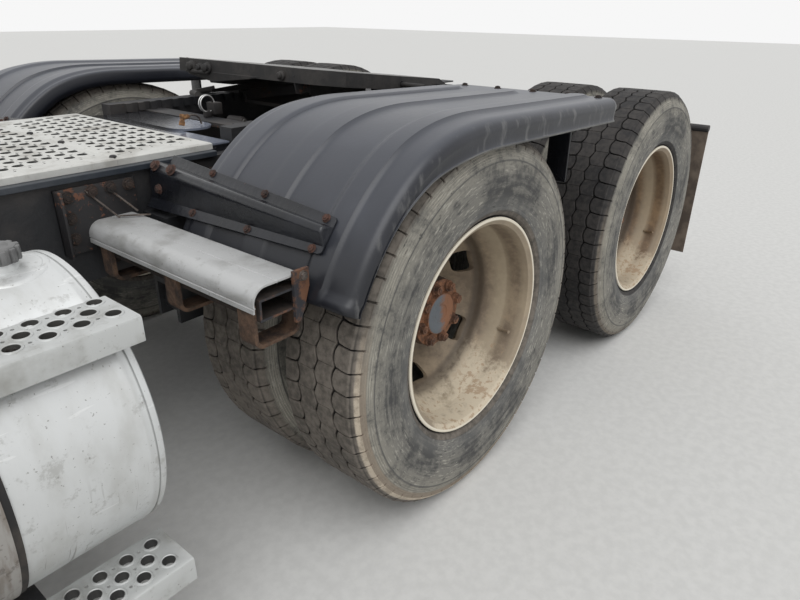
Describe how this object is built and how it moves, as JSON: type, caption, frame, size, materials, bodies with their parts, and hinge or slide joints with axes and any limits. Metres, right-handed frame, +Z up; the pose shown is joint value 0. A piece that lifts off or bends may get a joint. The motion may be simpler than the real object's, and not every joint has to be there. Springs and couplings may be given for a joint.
{
  "type": "rear rolling chassis of a semi truck tractor unit",
  "caption": "Tandem rear chassis of a tractor unit with dual wheels, half fenders, fuel tanks with steps, deck and a sliding fifth wheel.",
  "frame": {"origin": "on the floor under the middle of the bounding box", "axes": "+X to the truck's rear, +Y to its right, +Z up"},
  "size_m": [4.36, 2.48, 1.2012],
  "materials": {
    "tyre_rubber": "matt",
    "wheel_cream": "satin",
    "hub_rust": "matt",
    "frame_black": "satin",
    "rusty_steel": "matt",
    "aluminium": "satin",
    "fender_plastic": "satin",
    "bag_rubber": "matt",
    "flap_rubber": "matt",
    "wheel_steel": "satin",
    "lamp_red": "gloss"
  },
  "bodies": {
    "chassis": {"air_springs": "bag_rubber", "air_tanks": "frame_black", "brake_chambers": "frame_black", "centre_bearing": "frame_black", "chain_rack_beams": "rusty_steel", "chain_rack_covers": "aluminium", "chain_rack_hooks": "rusty_steel", "crossmembers": "frame_black", "deck_channels": "aluminium", "deck_plates": "aluminium", "deck_tail_plate": "frame_black", "drive_axle_front": "frame_black", "drive_axle_rear": "frame_black", "drive_shafts": "frame_black", "fender_brackets": "frame_black", "fender_left": "fender_plastic", "fender_right": "fender_plastic", "fifth_wheel_rails": "wheel_steel", "filler_caps": "aluminium", "frame_rail_left": "frame_black", "frame_rail_right": "frame_black", "fuel_tanks": "aluminium", "mud_flap_hangers": "frame_black", "mud_flaps": "flap_rubber", "shock_absorbers": "frame_black", "slide_release": "wheel_steel", "spring_beams": "frame_black", "suspension_hangers": "frame_black", "tail_lamps": "lamp_red", "tank_brackets": "frame_black", "tank_steps": "aluminium", "tank_straps": "aluminium"},
    "fifth_wheel_slider": {"fifth_wheel_slider": "wheel_steel"},
    "fifth_wheel": {"fifth_wheel_plate": "wheel_steel", "kingpin_lock": "wheel_steel"},
    "wheel_set_front_left": {"tyres_front_left": "tyre_rubber", "wheels_front_left": "wheel_cream", "hub_front_left": "hub_rust"},
    "wheel_set_front_right": {"tyres_front_right": "tyre_rubber", "wheels_front_right": "wheel_cream", "hub_front_right": "hub_rust"},
    "wheel_set_rear_left": {"tyres_rear_left": "tyre_rubber", "wheels_rear_left": "wheel_cream", "hub_rear_left": "hub_rust"},
    "wheel_set_rear_right": {"tyres_rear_right": "tyre_rubber", "wheels_rear_right": "wheel_cream", "hub_rear_right": "hub_rust"}
  },
  "joints": [
    {"name": "front_left_wheels_turn", "type": "hinge", "parent": "chassis", "child": "wheel_set_front_left", "pos_m": [0.12, 0, 0.548], "axis": [0, 1, 0], "continuous": true},
    {"name": "front_right_wheels_turn", "type": "hinge", "parent": "chassis", "child": "wheel_set_front_right", "pos_m": [0.12, 0, 0.548], "axis": [0, 1, 0], "continuous": true},
    {"name": "rear_left_wheels_turn", "type": "hinge", "parent": "chassis", "child": "wheel_set_rear_left", "pos_m": [1.492, 0, 0.548], "axis": [0, 1, 0], "continuous": true},
    {"name": "rear_right_wheels_turn", "type": "hinge", "parent": "chassis", "child": "wheel_set_rear_right", "pos_m": [1.492, 0, 0.548], "axis": [0, 1, 0], "continuous": true},
    {"name": "fifth_wheel_slide", "type": "slide", "parent": "chassis", "child": "fifth_wheel_slider", "axis": [-1, 0, 0], "range_m": [0, 0.36]},
    {"name": "fifth_wheel_tilt", "type": "hinge", "parent": "fifth_wheel_slider", "child": "fifth_wheel", "pos_m": [0.705, 0, 1.098], "axis": [0, -1, 0], "range_deg": [0, 10]}
  ]
}
